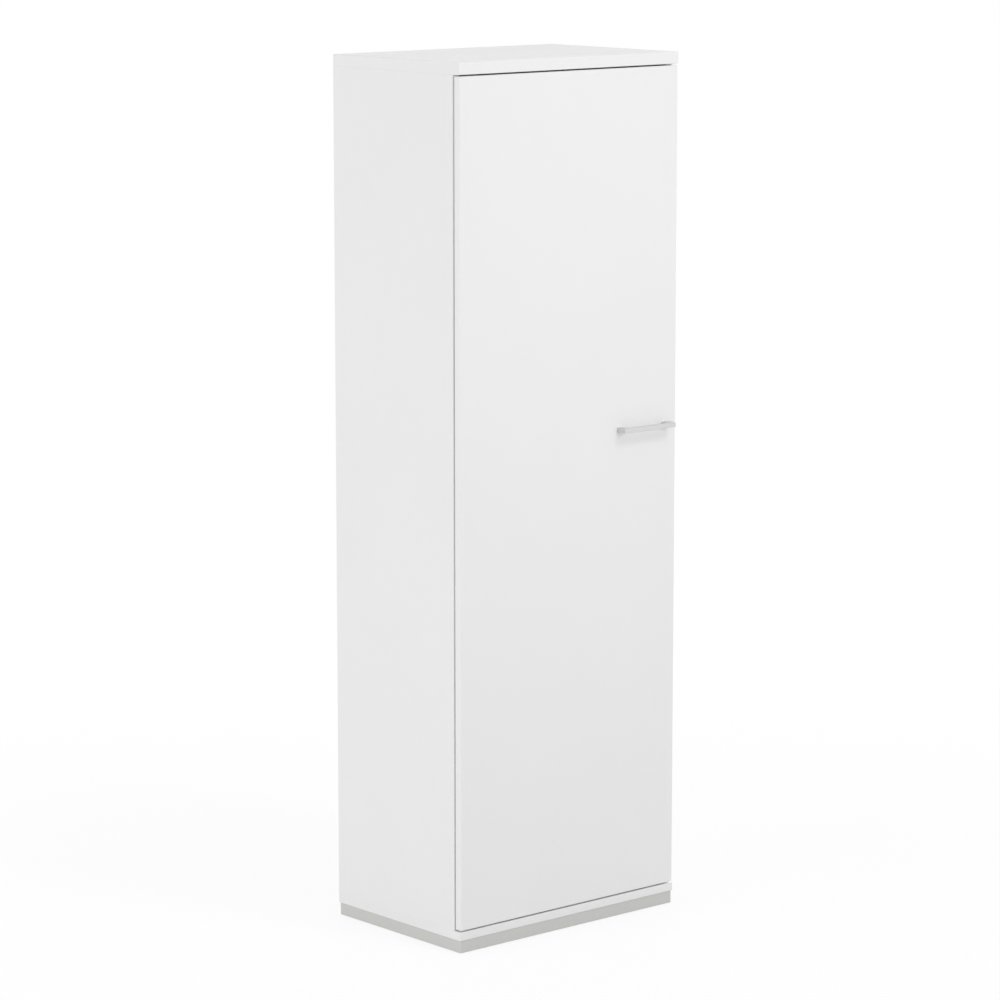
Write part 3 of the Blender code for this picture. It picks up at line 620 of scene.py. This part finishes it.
def add_bracket_screws(finish):
    screw = screw_mesh(BRACKET_SCREW)
    for end in ENDS:
        node = f"coat_rail_bracket_{end}"
        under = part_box(node)[1].z - BRACKET_PLATE_THICK
        places = [(step, middle(node).y, under) for step in both_ways(BRACKET_SCREW_SPREAD)]
        group(f"{node}_screws", screw, DOWNWARD, places, finish, "carcass")


def oval_loop(shape, width, height, along):
    """Ring of points with round upper and lower ends, standing at one place along Y."""
    radius = width / 2
    straight = (height - width) / 2
    points = []
    for index in range(OVAL_POINTS):
        turn = math.tau * (index + 0.5) / OVAL_POINTS
        rise = radius * math.sin(turn) + math.copysign(straight, math.sin(turn))
        points.append(shape.verts.new((radius * math.cos(turn), along, rise)))
    return points


def add_rail_plugs(finish):
    """Moulded plug in each end of the oval rail, with a domed lip outside and a boss inside."""
    low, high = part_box("coat_rail")
    centre = middle("coat_rail")
    width = high.x - low.x
    height = high.z - low.z
    inside = 2 * (RAIL_WALL + PLUG_BOSS_GAP)
    rings = [(width - inside, height - inside, PLUG_BOSS),
             (width - inside, height - inside, -PLUG_BOSS_GAP),
             (width, height, -PLUG_BOSS_GAP)]
    rings += [(width * across, height * up, -PLUG_LIP * out) for across, up, out in PLUG_DOME]
    for end, mouth, inward in (("front", low.y, 1), ("rear", high.y, -1)):
        shape = bmesh.new()
        skin(shape, [oval_loop(shape, wide, tall, inward * along) for wide, tall, along in rings])
        bmesh.ops.translate(shape, verts=shape.verts, vec=(centre.x, mouth, centre.z))
        piece(f"coat_rail_plug_{end}", mesh_from(shape), finish, "carcass")


def add_foot_caps(finish):
    """White press-in caps over the holes through which the feet are turned."""
    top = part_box("bottom_panel")[1].z
    stem = [(CAP_STEM * across, -CAP_STEM_DEPTH * down) for across, down in CAP_STEM_END]
    under = [(CAP_STEM, CAP_LIFT), (CAP_RADIUS, CAP_LIFT)]
    dome = [(CAP_RADIUS * across, CAP_HEIGHT * up) for across, up in CAP_DOME]
    cap = turned(stem + under + dome)
    for side in SIDES:
        for end in ENDS:
            foot = middle(f"levelling_foot_{side}_{end}")
            group(f"foot_hole_cap_{side}_{end}", cap, UPWARD, [(foot.x, foot.y, top)], finish, "carcass")


def add_fittings(steel):
    """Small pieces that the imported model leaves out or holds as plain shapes."""
    screws = (steel, "zinc_steel")
    add_hinge_screws(screws)
    for side in SIDES:
        add_handle_screw(side, screws)
        for end in ENDS:
            add_plinth_screw(side, end, screws)
    add_bracket_screws(screws)
    add_rail_plugs((plastic_material("black_plastic", BLACK, rough=0.42), "black_plastic"))
    add_foot_caps((plastic_material("white_plastic", CAP_WHITE, rough=0.4), "white_board"))


def shown_ray(tree):
    """1 for rays that come straight from the camera, from gloss or through glass, else 0."""
    rays = add(tree, "LightPath", {})
    seen = math_node(tree, "MAXIMUM", rays.outputs["Is Camera Ray"], rays.outputs["Is Glossy Ray"])
    return math_node(tree, "MAXIMUM", seen, rays.outputs["Is Transmission Ray"])


def build_world():
    world = bpy.data.worlds.new("studio")
    bpy.context.scene.world = world
    world.use_nodes = True
    tree = world.node_tree
    tree.nodes.clear()
    dome = add(tree, "Background", {"Color": opaque(STUDIO_WHITE), "Strength": DOME_LIGHT})
    white = add(tree, "Background", {"Color": opaque(STUDIO_WHITE), "Strength": 1.0})
    chosen = add(tree, "MixShader", {0: shown_ray(tree), 1: dome.outputs[0], 2: white.outputs[0]})
    add(tree, "OutputWorld", {"Surface": chosen.outputs[0]})


def floor_material():
    """Pale floor that shows as white, apart from the shadow that it keeps near the object."""
    made, tree, shader = new_material("floor")
    shown = shown_ray(tree)
    grey = mixed(tree, shown, opaque(STUDIO_WHITE, FLOOR_GREY), opaque(STUDIO_WHITE))
    feed(tree, shader.inputs["Base Color"], grey)
    shader.inputs["Roughness"].default_value = FLOOR_ROUGH
    shader.inputs["Specular IOR Level"].default_value = 0.0
    glow = add(tree, "Emission", {"Color": opaque(STUDIO_WHITE), "Strength": 1.0})
    place = add(tree, "TexCoord", {}).outputs["Object"]
    away = add(tree, "VectorMath", {0: place}, operation="LENGTH").outputs["Value"]
    whiter = add(tree, "MapRange", {"Value": away, "From Min": FLOOR_NEAR, "From Max": FLOOR_FAR,
                                    "To Min": FLOOR_NEAR_GLOW, "To Max": 1.0},
                 interpolation_type="SMOOTHSTEP").outputs["Result"]
    share = math_node(tree, "MULTIPLY", shown, whiter)
    chosen = add(tree, "MixShader", {0: share, 1: shader.outputs[0], 2: glow.outputs[0]})
    feed(tree, tree.nodes["Material Output"].inputs["Surface"], chosen.outputs[0])
    return made


def build_floor():
    shape = bmesh.new()
    bmesh.ops.create_grid(shape, x_segments=1, y_segments=1, size=FLOOR_HALF)
    mesh = bpy.data.meshes.new("floor")
    shape.to_mesh(mesh)
    shape.free()
    mesh.materials.append(floor_material())
    floor = bpy.data.objects.new("floor", mesh)
    bpy.context.scene.collection.objects.link(floor)


def soft_light(name, place, aim, size, spread, watts):
    lamp = bpy.data.lights.new(name, "AREA")
    lamp.shape = "SQUARE"
    lamp.size = size
    lamp.spread = math.radians(spread)
    lamp.energy = watts
    item = bpy.data.objects.new(name, lamp)
    item.location = place
    item.rotation_euler = (Vector(aim) - Vector(place)).to_track_quat("-Z", "Y").to_euler()
    item.visible_camera = False
    bpy.context.scene.collection.objects.link(item)


def build_camera():
    lens = bpy.data.cameras.new("camera")
    lens.sensor_width = CAMERA_SENSOR
    lens.lens = CAMERA_LENS
    camera = bpy.data.objects.new("camera", lens)
    camera.location = CAMERA_PLACE
    camera.rotation_euler = (math.radians(90 - CAMERA_PITCH), 0.0, math.radians(-CAMERA_HEADING))
    bpy.context.scene.collection.objects.link(camera)
    bpy.context.scene.camera = camera


def build_scene():
    build_camera()
    build_world()
    build_floor()
    for name, settings in LIGHTS.items():
        soft_light(name, **settings)
    build_sharp_group()
    dress_boards()
    steel = dress_metal()
    dress_base()
    add_fittings(steel)
    bpy.context.scene.view_settings.view_transform = "Standard"


build_scene()
